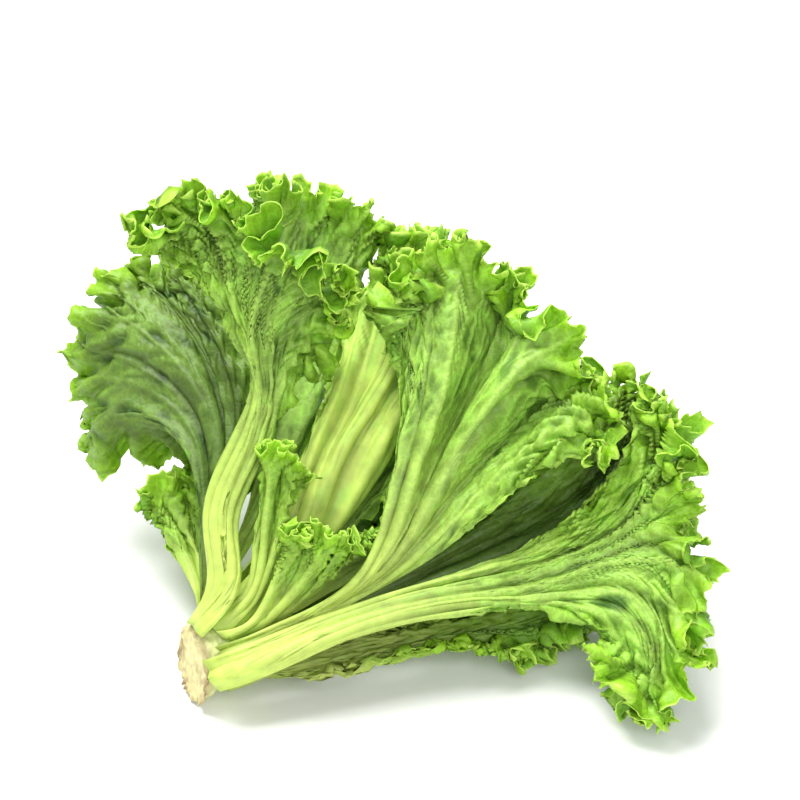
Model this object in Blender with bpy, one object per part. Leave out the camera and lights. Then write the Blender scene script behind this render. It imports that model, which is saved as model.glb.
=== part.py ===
"""A head of lollo bionda lettuce, cut at the stem and lying on its side on a table.

Lengths are in millimetres until a mesh is made, which is in metres.
Places are set out from the middle of the stem's cut face. +X runs to the right along the table,
+Y away from the side that the head shows best, and +Z up.
Each leaf is a fan of ribs that leave the stem together and spread, and its edge is waved.
The leaves are bent clear of each other, of the stem and of the table, and are then given a thickness.
"""

from dataclasses import dataclass
from math import cos, radians, sin

import bmesh
import bpy
import numpy as np

MM = 0.001

# Where the middle of the cut face stands, so that the head's box is centred on the origin
BUTT_AT = np.array([-81.6, -99.5, 18.0])

# The head's axis: its bearing from +X and its rise from the table, in degrees
AXIS_BEARING = 42.0
AXIS_RISE = 17.0

# Ribs of the leaves that show are laid out as seen from the front: steps to the right and down, and mm away
VIEW_RISE = 35.0
VIEW_DISTANCE = 900.0
VIEW_STEP = 0.45
VIEW_MIDDLE = (400.0, 400.0)
VIEW_BUTT = (194.0, 665.0)

# The stem: radius at each height above the cut face
STEM_PROFILE = ((0.0, 14.8), (2.5, 16.0), (9.0, 15.8), (16.0, 14.0), (26.0, 10.6), (37.0, 6.8), (46.0, 3.0))
STEM_SIDES = 20
# How far the cut rises along the axis over 1 mm upwards and over 1 mm sideways, and how far the slant reaches
CUT_RISE = 0.5
CUT_LEAN = -0.25
SLANT_REACH = 30.0

# Half thickness of the blade, and the extra thickness of the stalk on the leaf's outer side
BLADE_HALF = 0.4
RIB_DEPTH = 1.9
RIB_WIDTH = 0.5
RIB_FADES_BY = 0.62

# The waved edge: how far in from the edge it reaches, and the least share of a rib's length that stays plain
WAVE_REACH = 14.0
FLARE_REACH = 30.0
ROLL_REACH = 26.0
ROLL_STRETCH = 1.05
PLAIN_STALK = 0.30
TOOTH_REACH = 6.0

ROWS = (0.0, 0.08, 0.20, 0.36, 0.54, 0.73, 0.88, 1.0)
ROW_STEPS = (4, 4, 4, 4, 2, 2, 1, 1)

# Leaves are kept apart in directions from a point on the axis behind the cut face
APEX = 15.0
DISTANCE_STEP = 2.0
BEARING_STEP = 1.5
SAMPLES = 12
GAP = 0.4
LEAST_OPENING = 0.04


@dataclass(frozen=True)
class Leaf:
    """One leaf. Its ribs are either given, or spread by rule about a bearing round the head's axis."""

    name: str
    ribs: tuple = ()
    attach: float = 10.0
    clasp: float = 34.0
    bearing: float = 0.0
    spread: float = 40.0
    open: float = 40.0
    length: float = 200.0
    wave: float = 6.0
    tooth: float = 3.0
    waves: float = 8.0
    flare: float = 3.0
    roll: float = 0.5
    pleat: float = 3.0
    pleats: float = 3.0
    turn: float = 0.0
    half_columns: int = 24
    stalk: float = 0.35


# Leaves from the heart outwards
LEAVES = (
    Leaf(
        "heart_leaf_1", attach=36, bearing=250, open=10, spread=70, length=110, waves=5,
        half_columns=12, stalk=0.5,
    ),
    Leaf(
        "heart_leaf_2", attach=34, bearing=120, open=18, spread=60, length=135, waves=5, turn=1.3,
        half_columns=12, stalk=0.5,
    ),
    Leaf(
        "heart_leaf_3", attach=31, bearing=350, open=22, spread=55, length=150, waves=5, turn=2.1,
        half_columns=12, stalk=0.6,
    ),
    Leaf("inner_leaf_crest", (
        ((285, 530, 26), (305, 430, 44), (332, 340, 60), (348, 268, 72)),
        ((292, 528, 26), (325, 420, 44), (360, 330, 62), (378, 240, 78)),
        ((300, 526, 26), (345, 415, 46), (390, 320, 64), (410, 240, 84)),
        ((308, 524, 26), (362, 410, 46), (413, 320, 66), (440, 236, 86)),
        ((316, 522, 26), (378, 410, 46), (432, 330, 66), (464, 262, 80)),
    ), attach=24, waves=6, turn=0.8, half_columns=16),
    Leaf(
        "inner_leaf_back", attach=26, bearing=215, open=26, spread=36, length=200, waves=6, turn=1.9,
        half_columns=16,
    ),
    Leaf("inner_leaf_top", (
        ((262, 560, 6), (292, 480, 20), (322, 400, 34), (342, 330, 46)),
        ((280, 552, 4), (315, 465, 16), (350, 385, 30), (372, 315, 40), (384, 275, 48)),
        ((296, 548, 2), (340, 450, 14), (388, 375, 26), (415, 320, 34), (425, 262, 50)),
        ((320, 548, 2), (372, 470, 16), (420, 395, 28), (450, 340, 40), (470, 300, 56)),
    ), attach=19, waves=5, turn=0.4, half_columns=16, stalk=0.6),
    Leaf("small_leaf_left", (
        ((240, 600, -2), (250, 530, 2), (250, 460, 6)),
        ((248, 600, -4), (266, 530, -2), (276, 445, 4)),
        ((256, 600, -4), (280, 535, -2), (300, 470, 4)),
    ), attach=15.5, clasp=20, waves=4, turn=1.2, half_columns=8, stalk=0.3, wave=4),
    Leaf("small_leaf_middle", (
        ((246, 622, -4), (272, 578, -5), (292, 536, -4)),
        ((256, 624, -6), (292, 580, -8), (318, 528, -8)),
        ((268, 626, -7), (314, 584, -9), (346, 536, -10)),
        ((282, 628, -6), (336, 584, -8), (376, 534, -6)),
    ), attach=17, clasp=34, waves=5, turn=2.2, half_columns=12, stalk=0.5, wave=4),
    Leaf("front_leaf_high", (
        ((405, 580, 4), (500, 505, 22), (575, 435, 38), (606, 400, 48), (618, 388, 56)),
        ((410, 588, 2), (510, 530, 22), (596, 465, 38), (630, 420, 46), (648, 398, 54)),
        ((415, 594, 2), (520, 550, 18), (606, 500, 32), (652, 458, 42), (676, 434, 50)),
        ((418, 600, 2), (530, 565, 14), (610, 535, 24), (660, 508, 34), (686, 490, 42)),
        ((420, 604, 2), (530, 580, 10), (600, 568, 16), (645, 555, 22), (680, 545, 30)),
    ), attach=14, waves=7, turn=1.4),
    Leaf("front_leaf_middle", (
        ((290, 616, -8), (358, 572, -6), (386, 500, 2), (400, 420, 8), (398, 365, 14), (404, 330, 14)),
        ((291, 619, -9), (362, 575, -8), (398, 488, -2), (420, 390, 4), (420, 320, 10), (412, 262, 16)),
        ((292, 622, -9), (366, 577, -8), (413, 483, -2), (448, 390, 2), (462, 320, 8), (468, 252, 20)),
        ((293, 625, -9), (370, 579, -8), (430, 480, 4), (468, 400, 18), (500, 335, 24), (520, 285, 30)),
        ((294, 628, -9), (374, 582, -8), (442, 480, -3), (490, 402, -4), (530, 356, 0), (556, 348, 16)),
        ((295, 631, -9), (378, 585, -8), (458, 488, 1), (515, 428, 12), (552, 398, 16), (586, 390, 24)),
        ((296, 634, -8), (384, 589, -7), (472, 500, -3), (532, 440, -3), (565, 420, -2), (596, 416, 10)),
        ((297, 637, -7), (392, 594, -6), (486, 522, -9), (540, 474, -12), (566, 458, -6), (588, 460, 4)),
    ), attach=10, roll=1.5, waves=9, turn=0.7, half_columns=32, pleat=1.0, stalk=0.9),
    Leaf(
        "back_leaf_high", attach=21, clasp=28, bearing=262, open=44, spread=30, length=215, waves=8,
        turn=2.4,
    ),
    Leaf("back_leaf_top", (
        ((212, 560, 34), (212, 440, 50), (176, 320, 58), (135, 200, 60)),
        ((218, 560, 36), (232, 440, 50), (208, 320, 56), (190, 178, 58)),
        ((224, 560, 36), (252, 440, 50), (250, 320, 57), (248, 180, 61)),
        ((230, 560, 36), (272, 440, 50), (290, 320, 59), (304, 187, 64)),
        ((236, 560, 34), (290, 440, 50), (325, 330, 63), (350, 202, 70)),
        ((242, 560, 34), (306, 440, 52), (350, 342, 68), (378, 232, 80)),
    ), attach=18.5, clasp=24, waves=8, turn=1.1),
    Leaf(
        "bottom_leaf_right", attach=13, bearing=150, open=42, spread=30, length=195, waves=7, turn=1.7,
        half_columns=20,
    ),
    Leaf("back_leaf_low", attach=16.5, bearing=222, open=44, spread=32, length=205, waves=8, turn=0.2),
    Leaf("left_leaf", (
        ((196, 590, 14), (187, 530, 22), (172, 484, 30), (144, 480, 42), (118, 494, 52)),
        ((200, 590, 14), (197, 520, 22), (184, 458, 30), (130, 426, 50), (80, 462, 66)),
        ((204, 590, 15), (206, 520, 21), (200, 440, 31), (130, 372, 56), (64, 358, 76)),
        ((211, 590, 15), (218, 520, 21), (218, 430, 32), (156, 325, 58), (100, 284, 78)),
        ((213, 590, 16), (222, 520, 22), (228, 425, 34), (185, 310, 58), (140, 262, 78)),
        ((215, 590, 17), (226, 520, 23), (238, 420, 36), (212, 320, 54), (186, 262, 70)),
        ((217, 590, 18), (234, 520, 24), (258, 420, 38), (256, 335, 50), (244, 262, 60)),
    ), attach=14.5, clasp=22, roll=-0.9, waves=9, turn=2.2, stalk=0.6),
    Leaf("left_leaf_low", (
        ((196, 600, 24), (172, 550, 40), (146, 505, 58)),
        ((202, 600, 26), (184, 545, 42), (160, 492, 60)),
        ((208, 600, 28), (196, 540, 44), (176, 482, 62)),
        ((213, 600, 30), (206, 536, 46), (196, 474, 62)),
    ), attach=12, clasp=20, waves=5, turn=0.6, half_columns=16, wave=4, stalk=0.8),
    Leaf("crown_leaf", (
        ((206, 590, -2), (203, 520, 4), (222, 455, 8), (250, 385, 12), (216, 300, 10),
         (168, 262, 12), (114, 234, 14)),
        ((213, 590, -4), (209, 520, 1), (230, 455, 5), (254, 385, 9), (226, 310, 6),
         (196, 244, 8), (170, 200, 12)),
        ((220, 590, -6), (216, 520, -2), (237, 455, 3), (257, 385, 7), (238, 310, 2),
         (230, 250, 2), (222, 190, 2)),
        ((227, 590, -6), (223, 520, -2), (245, 455, 3), (261, 387, 6), (252, 320, 2),
         (270, 268, 0), (282, 214, -8)),
        ((234, 590, -6), (230, 520, -1), (252, 455, 4), (266, 392, 7), (268, 335, 6),
         (300, 286, 4), (336, 242, -6)),
        ((241, 590, -4), (237, 520, 2), (260, 455, 7), (272, 400, 10), (284, 345, 12),
         (318, 312, 14), (358, 292, 10)),
        ((247, 590, -2), (243, 520, 5), (268, 455, 10), (282, 420, 14),
         (296, 390, 18), (304, 362, 20), (312, 342, 20)),
    ), attach=9.3, clasp=28, bearing=350, roll=1.5, waves=9, turn=0.3, half_columns=32,
        pleat=1.0, flare=2, stalk=0.9),
    Leaf(
        "bottom_leaf", attach=8, bearing=185, open=34, spread=34, length=205, waves=7, turn=0.9,
        half_columns=20,
    ),
    Leaf("under_leaf", (
        ((300, 640, 4), (400, 622, 14), (500, 605, 24), (600, 590, 34)),
        ((300, 652, 0), (400, 636, 8), (500, 618, 18), (600, 610, 26)),
        ((300, 664, -4), (390, 652, 2), (480, 636, 10), (560, 640, 14)),
        ((296, 674, -6), (372, 664, -4), (440, 650, 2), (500, 646, 4)),
    ), attach=6, waves=6, turn=1.0, half_columns=20, wave=3, stalk=0.6),
    Leaf("front_leaf_low", (
        ((329, 608, -7), (450, 571, 2), (548, 530, 8), (596, 492, 10), (628, 444, 14), (645, 402, 22)),
        ((331, 612, -8), (450, 579, 0), (560, 547, 6), (625, 503, 8), (662, 456, 10), (677, 432, 16)),
        ((333, 616, -9), (450, 586, -2), (560, 562, 4), (630, 532, 4), (668, 512, 4), (684, 511, 8)),
        ((334, 620, -10), (450, 594, -4), (560, 578, 0), (632, 560, -6), (668, 566, -8), (685, 600, -4)),
        ((335, 624, -11), (450, 600, -6), (560, 590, -2), (628, 586, -8), (660, 610, -12), (674, 658, -8)),
        ((336, 628, -12), (450, 604, -7), (555, 600, -2), (610, 606, -6), (640, 645, -12), (652, 724, -10)),
        ((336, 632, -12), (450, 608, -8), (545, 606, -3), (585, 616, -3), (606, 628, -6), (618, 648, -6)),
    ), attach=2, clasp=28, bearing=70, roll=1.4, waves=9, turn=2.5, half_columns=32,
        pleat=1.0, flare=2, stalk=0.9),
)


def unit(vectors):
    """Vectors scaled to a length of 1 along their last axis."""
    return vectors / np.maximum(np.linalg.norm(vectors, axis=-1, keepdims=True), 1e-9)


def head_frame():
    """The head's axis, and the upward and the sideways direction across it."""
    bearing, rise = radians(AXIS_BEARING), radians(AXIS_RISE)
    axis = np.array([cos(rise) * cos(bearing), cos(rise) * sin(bearing), sin(rise)])
    up = unit(np.array([0, 0, 1.0]) - axis[2] * axis)
    return axis, up, np.cross(axis, up)


AXIS, UP, SIDE = head_frame()


def seen(place):
    """The place in the head of a point that is given as seen from the front."""
    across, down, away = place
    scale = 1 + away / VIEW_DISTANCE
    right = (VIEW_MIDDLE[0] - VIEW_BUTT[0] + (across - VIEW_MIDDLE[0]) * scale) * VIEW_STEP
    up = (VIEW_BUTT[1] - VIEW_MIDDLE[1] - (down - VIEW_MIDDLE[1]) * scale) * VIEW_STEP
    rise = radians(VIEW_RISE)
    return np.array([right, up * sin(rise) + away * cos(rise), up * cos(rise) - away * sin(rise)])


def round_axis(height, bearing, radius):
    """A place at a height along the axis, at a bearing round it in degrees and a distance from it."""
    return height * AXIS + radius * (cos(radians(bearing)) * UP + sin(radians(bearing)) * SIDE)


def polar(points):
    """Distances from the apex, angles from the axis and bearings round it, in radians."""
    from_apex = points + APEX * AXIS
    distance = np.linalg.norm(from_apex, axis=-1)
    opening = np.arccos(np.clip(from_apex @ AXIS / distance, -1, 1))
    return distance, opening, np.arctan2(from_apex @ SIDE, from_apex @ UP)


def from_polar(distance, opening, bearing):
    across = np.cos(bearing)[..., None] * UP + np.sin(bearing)[..., None] * SIDE
    ray = np.cos(opening)[..., None] * AXIS + np.sin(opening)[..., None] * across
    return distance[..., None] * ray - APEX * AXIS


def spline(knots, values, at):
    """A natural cubic spline through values at knots, read at the places in at."""
    count = len(knots)
    step = np.diff(knots)
    matrix = np.eye(count)
    right = np.zeros((count, values.shape[1]))
    for i in range(1, count - 1):
        matrix[i, i - 1 : i + 2] = step[i - 1], 2 * (step[i - 1] + step[i]), step[i]
        right[i] = 6 * ((values[i + 1] - values[i]) / step[i] - (values[i] - values[i - 1]) / step[i - 1])
    bend = np.linalg.solve(matrix, right)
    i = np.clip(np.searchsorted(knots, at, side="right") - 1, 0, count - 2)
    h = step[i][:, None]
    a = (knots[i + 1] - at)[:, None] / h
    b = 1 - a
    return a * values[i] + b * values[i + 1] + ((a**3 - a) * bend[i] + (b**3 - b) * bend[i + 1]) * h**2 / 6


def even_curve(points, shares):
    """Places on a smooth curve through points, at shares of its length, and that length."""
    points = np.array(points, float)
    knots = np.concatenate([[0], np.cumsum(np.linalg.norm(np.diff(points, axis=0), axis=1))])
    fine = spline(knots, points, np.linspace(0, knots[-1], 200))
    along = np.concatenate([[0], np.cumsum(np.linalg.norm(np.diff(fine, axis=0), axis=1))])
    return np.stack([np.interp(shares * along[-1], along, fine[:, k]) for k in range(3)], axis=1), along[-1]


def smooth_step(low, high, x):
    t = np.clip((x - low) / (high - low), 0, 1)
    return t * t * (3 - 2 * t)


def stem_radius(height):
    heights, radii = np.array(STEM_PROFILE).T
    return np.interp(height, heights, radii)


def courses_by_rule(leaf):
    """Five ribs that spread evenly to both sides of the leaf's bearing."""
    courses = []
    for place in np.linspace(-1, 1, 5):
        course = []
        for share in (0.3, 0.6, 0.85, 1.0):
            opening = radians(leaf.open * (0.35 + 0.65 * share))
            reach = leaf.length * (1 - 0.28 * place**2) * share
            height, radius = leaf.attach + reach * cos(opening), reach * sin(opening) + 8
            course.append(round_axis(height, leaf.bearing + place * leaf.spread, radius))
        courses.append(course)
    return courses


def leaf_ribs(leaf, shares):
    """The leaf's main ribs from left to right as seen from outside, as places at shares of their lengths."""
    if leaf.ribs:
        courses = [[seen(place) for place in rib] for rib in leaf.ribs]
        first = np.mean([course[0] for course in courses], axis=0)
        middle = leaf.bearing or np.degrees(np.arctan2(first @ SIDE, first @ UP))
        turns = [np.degrees(np.arctan2(c[-1] @ SIDE, c[-1] @ UP)) - middle for c in (courses[0], courses[-1])]
        left, right = ((turn + 180) % 360 - 180 for turn in turns)
        if left > right:
            courses = courses[::-1]
    else:
        courses = courses_by_rule(leaf)
        middle = leaf.bearing
    foot = stem_radius(leaf.attach) + GAP + BLADE_HALF
    curves, lengths = [], []
    for place, course in zip(np.linspace(-1, 1, len(courses)), courses):
        start = round_axis(leaf.attach, middle + leaf.clasp * place, foot)
        curve, length = even_curve((start, *course), shares)
        curves.append(curve)
        lengths.append(length)
    return np.array(curves), np.array(lengths)


def outward_and_forward(surface):
    """The direction out of the leaf and the one along its ribs, at each point of a grid."""
    forward = np.gradient(surface, axis=0)
    return unit(np.cross(np.gradient(surface, axis=1), forward)), unit(forward)


def leaf_surface(leaf, across, rows):
    """The middle surface of the leaf's blade: a row for each of rows from the foot at 0 to the edge at 1,
    and a column for each of across from the left at -1 to the right at 1."""
    shares = np.asarray(rows, float)
    curves, lengths = leaf_ribs(leaf, shares)
    knots = np.linspace(-1, 1, len(curves))
    surface = spline(knots, curves.reshape(len(curves), -1), across)
    surface = surface.reshape(len(across), len(shares), 3).transpose(1, 0, 2)
    length = spline(knots, lengths[:, None], across)[:, 0]
    from_edge = (1 - shares)[:, None] * length
    grown = smooth_step(PLAIN_STALK, 0.75, shares)[:, None]
    pleated = smooth_step(0.15, 0.7, shares)[:, None] * np.sin(np.pi * leaf.pleats * across + leaf.turn)
    flared = grown * np.clip(1 - from_edge / FLARE_REACH, 0, 1) ** 2
    out, forward = outward_and_forward(surface)
    surface = surface + (leaf.pleat * pleated + leaf.flare * flared)[..., None] * out

    out, forward = outward_and_forward(surface)
    varied = 0.7 + 0.3 * np.sin(5.3 * across + 2 * leaf.turn) + 0.25 * np.sin(13.1 * across + leaf.turn)
    angle = leaf.roll * varied
    angle = np.where(np.abs(angle) < 0.05, 0.05, angle)
    into = np.clip(1 - from_edge / ROLL_REACH, 0, 1) * ROLL_REACH
    radius = ROLL_STRETCH * ROLL_REACH / angle
    turned = into / ROLL_REACH * angle
    surface = surface + (radius * np.sin(turned) - into)[..., None] * forward
    surface = surface + (radius * (1 - np.cos(turned)))[..., None] * out

    out, forward = outward_and_forward(surface)
    phase = np.pi * leaf.waves * across + 0.5 * np.sin(5.1 * across + leaf.turn)
    phase = phase + 0.4 * np.sin(11.3 * across + 2 * leaf.turn)
    strength = 0.85 + 0.3 * np.sin(7.7 * across + 3 * leaf.turn)
    height = leaf.wave * strength * grown * np.exp(-from_edge / WAVE_REACH) * np.sin(phase)
    teeth = np.sin(np.pi * leaf.half_columns / 2 * across + 0.6 * np.sin(9.1 * across))
    teeth = leaf.tooth * grown * np.exp(-from_edge / TOOTH_REACH) * teeth
    return surface + height[..., None] * out + teeth[..., None] * forward


def rib_depth(leaf, across, rows):
    """How far the stalk stands out of the blade's outer side."""
    fade = np.clip(1 - np.asarray(rows)[:, None] / RIB_FADES_BY, 0, 1)
    return leaf.stalk * RIB_DEPTH * fade * np.exp(-((across / RIB_WIDTH) ** 2))


def leaf_faces(leaf):
    """Triangles of the coarse blade, as (row, column) corners. Rows near the foot have fewer columns."""
    faces = []
    for row in range(len(ROWS) - 1):
        inner, outer = ROW_STEPS[row], ROW_STEPS[row + 1]
        for column in range(0, 2 * leaf.half_columns, inner):
            a, b = (row, column), (row, column + inner)
            rim = [(row + 1, c) for c in range(column, column + inner + 1, outer)]
            middle = len(rim) // 2
            for k in range(len(rim) - 1):
                faces.append((a if k < middle else b, rim[k + 1], rim[k]))
            faces.append((a, b, rim[middle]))
    return faces


class Blade:
    """The coarse blade of one leaf: its points, its triangles and how thick it is to its outer side."""

    def __init__(self, leaf):
        self.leaf = leaf
        across = np.linspace(-1, 1, 2 * leaf.half_columns + 1)
        grid = leaf_surface(leaf, across, ROWS)
        depth = rib_depth(leaf, across, ROWS)
        corners = sorted({corner for face in leaf_faces(leaf) for corner in face})
        place = {corner: k for k, corner in enumerate(corners)}
        self.faces = np.array([[place[corner] for corner in face] for face in leaf_faces(leaf)])
        self.points = np.array([grid[corner] for corner in corners])
        self.outer_half = np.array([BLADE_HALF + depth[corner] for corner in corners])
        self.give = np.array([0.3 if corner[0] < 2 else 0.95 for corner in corners])
        steps = [(i, j, SAMPLES - i - j) for i in range(SAMPLES + 1) for j in range(SAMPLES + 1 - i)]
        self.weights = np.array(steps) / SAMPLES
        ends = np.concatenate([self.faces[:, [0, 1]], self.faces[:, [1, 2]], self.faces[:, [2, 0]]])
        self.edges = np.unique(np.sort(ends, axis=1), axis=0)

    def normals(self):
        """The outward direction at each point."""
        a, b, c = (self.points[self.faces[:, k]] for k in range(3))
        of_face = np.cross(b - a, c - a)
        summed = np.zeros_like(self.points)
        for k in range(3):
            np.add.at(summed, self.faces[:, k], of_face)
        return unit(summed)

    def samples(self):
        """Polar places spread over each triangle, with the outer half thickness there."""
        distance, opening, bearing = polar(self.weights @ self.points[self.faces])
        return distance, opening, bearing, self.outer_half[self.faces] @ self.weights.T

    def bend(self, limit, side):
        """Opens the leaf out (side 1) or draws it in (side -1) until it is clear of a limit."""
        for _ in range(6):
            distance, opening, bearing, outer = self.samples()
            bound = limit[cells(distance, bearing)]
            if side > 0:
                bound = np.maximum(bound, stem_limit(distance))
                lack = bound + (BLADE_HALF + GAP) / distance - opening
            else:
                lack = opening + (outer + GAP) / distance - bound
            if lack.max() < 1e-4:
                break
            push = np.zeros(len(self.points))
            for k in range(3):
                share = np.maximum(lack, 0) * self.weights[:, k] / (self.weights**2).sum(axis=1)
                np.maximum.at(push, self.faces[:, k], share.max(axis=1))
            for _ in range(6):
                summed, count = np.zeros(len(push)), np.zeros(len(push))
                for a, b in ((0, 1), (1, 0)):
                    np.add.at(summed, self.edges[:, a], push[self.edges[:, b]])
                    np.add.at(count, self.edges[:, a], 1)
                push = np.maximum(push, self.give * summed / count)
            distance, opening, bearing = polar(self.points)
            moved = opening + side * push
            if side < 0:
                moved = np.maximum(moved, np.minimum(opening, LEAST_OPENING + stem_limit(distance)))
            self.points = from_polar(distance, moved, bearing)

    def lift(self, floor):
        """Lays what is below the table on the table."""
        self.points[:, 2] = np.maximum(self.points[:, 2], floor + self.outer_half)


def cells(distance, bearing):
    """The cells of the map of limits that places are in."""
    row = np.clip((distance / DISTANCE_STEP).astype(int), 0, int(300 / DISTANCE_STEP) - 1)
    return row, np.floor(np.degrees(bearing) / BEARING_STEP).astype(int) % int(360 / BEARING_STEP)


def widened(limits, pick):
    """Each cell with the strictest of its own limit and those of the cells round it."""
    wide = pick(pick(limits, np.roll(limits, 1, 1)), np.roll(limits, -1, 1))
    result = wide.copy()
    result[1:] = pick(result[1:], wide[:-1])
    result[:-1] = pick(result[:-1], wide[1:])
    return result


def stem_limit(distance):
    """The least angle from the axis at a distance from the apex, so that leaves clear the stem."""
    heights = np.linspace(0, STEM_PROFILE[-1][0], 200)
    radii = stem_radius(heights) * 1.03
    return np.interp(distance, np.hypot(heights + APEX, radii), np.arctan2(radii, heights + APEX), right=0)


def lay_leaves():
    """Builds the blades and bends them clear of each other, of the stem and of the table."""
    blades = [Blade(leaf) for leaf in LEAVES]
    floor = -BUTT_AT[2]
    limits = np.full((int(300 / DISTANCE_STEP), int(360 / BEARING_STEP)), np.pi)
    for blade in blades[::-1]:
        blade.lift(floor)
        blade.bend(widened(limits, np.minimum), -1)
        distance, opening, bearing, _ = blade.samples()
        np.minimum.at(limits, cells(distance, bearing), opening - BLADE_HALF / distance)
    limits = np.zeros_like(limits)
    for blade in blades:
        blade.bend(widened(limits, np.maximum), 1)
        distance, opening, bearing, outer = blade.samples()
        np.maximum.at(limits, cells(distance, bearing), opening + outer / distance)
    return blades


def leaf_material(name, colour):
    material = bpy.data.materials.new(name)
    material.use_nodes = True
    shader = material.node_tree.nodes["Principled BSDF"]
    shader.inputs["Base Color"].default_value = (*colour, 1)
    shader.inputs["Roughness"].default_value = 0.45
    shader.inputs["Metallic"].default_value = 0
    return material


def add_object(name, points, faces, material):
    """A mesh object from points in millimetres measured from the cut face."""
    mesh = bpy.data.meshes.new(name)
    mesh.from_pydata(((points + BUTT_AT) * MM).tolist(), [], [list(map(int, f)) for f in faces])
    mesh.materials.append(material)
    mesh.shade_smooth()
    shape = bpy.data.objects.new(name, mesh)
    bpy.context.scene.collection.objects.link(shape)
    return shape


def add_leaf(blade, material):
    """The blade as a closed solid: both faces are the same triangles, joined round the edge.
    What would sink into the table is flat against it."""
    normals = blade.normals()
    outer = blade.points + blade.outer_half[:, None] * normals
    inner = blade.points - BLADE_HALF * normals
    for face in (outer, inner):
        face[:, 2] = np.maximum(face[:, 2], -BUTT_AT[2])
    count = len(blade.points)
    faces = [tuple(f) for f in blade.faces] + [tuple(f[::-1] + count) for f in blade.faces]
    ends = np.concatenate([blade.faces[:, [0, 1]], blade.faces[:, [1, 2]], blade.faces[:, [2, 0]]])
    directed = {tuple(e) for e in ends.tolist()}
    for a, b in sorted(directed):
        if (b, a) not in directed:
            faces += [(b, a, a + count), (b, a + count, b + count)]
    return add_object(blade.leaf.name, np.concatenate([outer, inner]), faces, material)


def add_stem(material):
    """The stem's butt: turned about the head's axis, with a slanting cut."""
    shape = bmesh.new()
    rings = []
    for level, (height, radius) in enumerate(STEM_PROFILE):
        ring = []
        for k in range(STEM_SIDES):
            bearing = 2 * np.pi * k / STEM_SIDES
            slant = CUT_RISE * cos(bearing) + CUT_LEAN * sin(bearing)
            slant = radius * slant * max(0, 1 - height / SLANT_REACH)
            lumpy = min(radius, stem_radius(height + slant)) * (1 + 0.03 * sin(3 * bearing + level))
            place = round_axis(height + slant, np.degrees(bearing), lumpy)
            ring.append(shape.verts.new((place + BUTT_AT) * MM))
        rings.append(ring)
    for low, high in zip(rings, rings[1:]):
        for k in range(STEM_SIDES):
            after = (k + 1) % STEM_SIDES
            shape.faces.new((low[k], low[after], high[after], high[k]))
    shape.faces.new(rings[0][::-1])
    shape.faces.new(rings[-1])
    bmesh.ops.recalc_face_normals(shape, faces=shape.faces)
    bmesh.ops.triangulate(shape, faces=shape.faces)
    mesh = bpy.data.meshes.new("stem_butt")
    shape.to_mesh(mesh)
    shape.free()
    mesh.materials.append(material)
    stem = bpy.data.objects.new("stem_butt", mesh)
    bpy.context.scene.collection.objects.link(stem)


def main():
    for old in list(bpy.data.objects):
        bpy.data.objects.remove(old)
    green = leaf_material("leaf_green", (0.29, 0.50, 0.07))
    pale = leaf_material("stem_pale", (0.66, 0.68, 0.30))
    add_stem(pale)
    for blade in lay_leaves():
        add_leaf(blade, green)


main()
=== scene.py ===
"""The finished head of lollo bionda lettuce on a pale table, seen as in the photograph.

The leaves are laid as in the part's source. They are then drawn finer, with their frills, teeth,
veins and creases. Lengths are in millimetres until a mesh is made, which is in metres.
"""

from dataclasses import dataclass
from math import cos, radians, sin

import bpy
import numpy as np
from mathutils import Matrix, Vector


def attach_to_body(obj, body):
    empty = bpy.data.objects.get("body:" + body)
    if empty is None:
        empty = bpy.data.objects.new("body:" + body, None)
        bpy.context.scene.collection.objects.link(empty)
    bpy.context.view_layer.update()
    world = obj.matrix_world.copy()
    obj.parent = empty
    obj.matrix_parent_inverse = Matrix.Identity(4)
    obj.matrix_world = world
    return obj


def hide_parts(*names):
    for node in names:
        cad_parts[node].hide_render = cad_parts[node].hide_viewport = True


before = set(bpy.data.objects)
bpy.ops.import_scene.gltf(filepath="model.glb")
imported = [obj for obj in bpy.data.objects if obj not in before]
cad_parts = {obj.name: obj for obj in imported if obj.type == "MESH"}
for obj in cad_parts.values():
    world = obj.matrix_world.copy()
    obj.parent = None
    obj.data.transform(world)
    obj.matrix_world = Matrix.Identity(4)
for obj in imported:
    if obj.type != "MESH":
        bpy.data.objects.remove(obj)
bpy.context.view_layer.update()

MM = 0.001

# Where the middle of the cut face stands, so that the head's box is centred on the origin, and how
# high the table is, measured from there
BUTT_AT = np.array([-81.6, -99.5, 18.0])
TABLE = -BUTT_AT[2]

# The head's axis: its bearing from +X and its rise from the table, in degrees
AXIS_BEARING = 42.0
AXIS_RISE = 17.0

# The photograph's view: its rise and distance, the mm in one of the picture's steps, how many steps
# there are, and where its middle and the cut face are
VIEW_RISE = 35.0
VIEW_DISTANCE = 900.0
VIEW_STEP = 0.45
VIEW_STEPS = 800
VIEW_MIDDLE = (400.0, 400.0)
VIEW_BUTT = (194.0, 665.0)

# The stem: radius at each height above the cut face
STEM_PROFILE = (
    (0.0, 14.8), (2.5, 16.0), (9.0, 15.8), (16.0, 14.0), (26.0, 10.6), (37.0, 6.8), (46.0, 3.0),
)
# How far the cut rises along the axis over 1 mm upwards and over 1 mm sideways, and how far up the
# stem its slant reaches
CUT_RISE = 0.5
CUT_LEAN = -0.25
SLANT_REACH = 30.0

# Half thickness of the blade, and depth, width and length of the stalk on its outer side
BLADE_HALF = 0.4
RIB_DEPTH = 1.9
RIB_WIDTH = 0.5
RIB_FADES_BY = 0.62

# How far in from the edge each form reaches, and the share of a leaf's length that stays plain
WAVE_REACH = 14.0
FLARE_REACH = 30.0
ROLL_REACH = 26.0
TOOTH_REACH = 6.0
ROLL_STRETCH = 1.05
LEAST_ROLL = 0.05
PLAIN_STALK = 0.30

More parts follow.
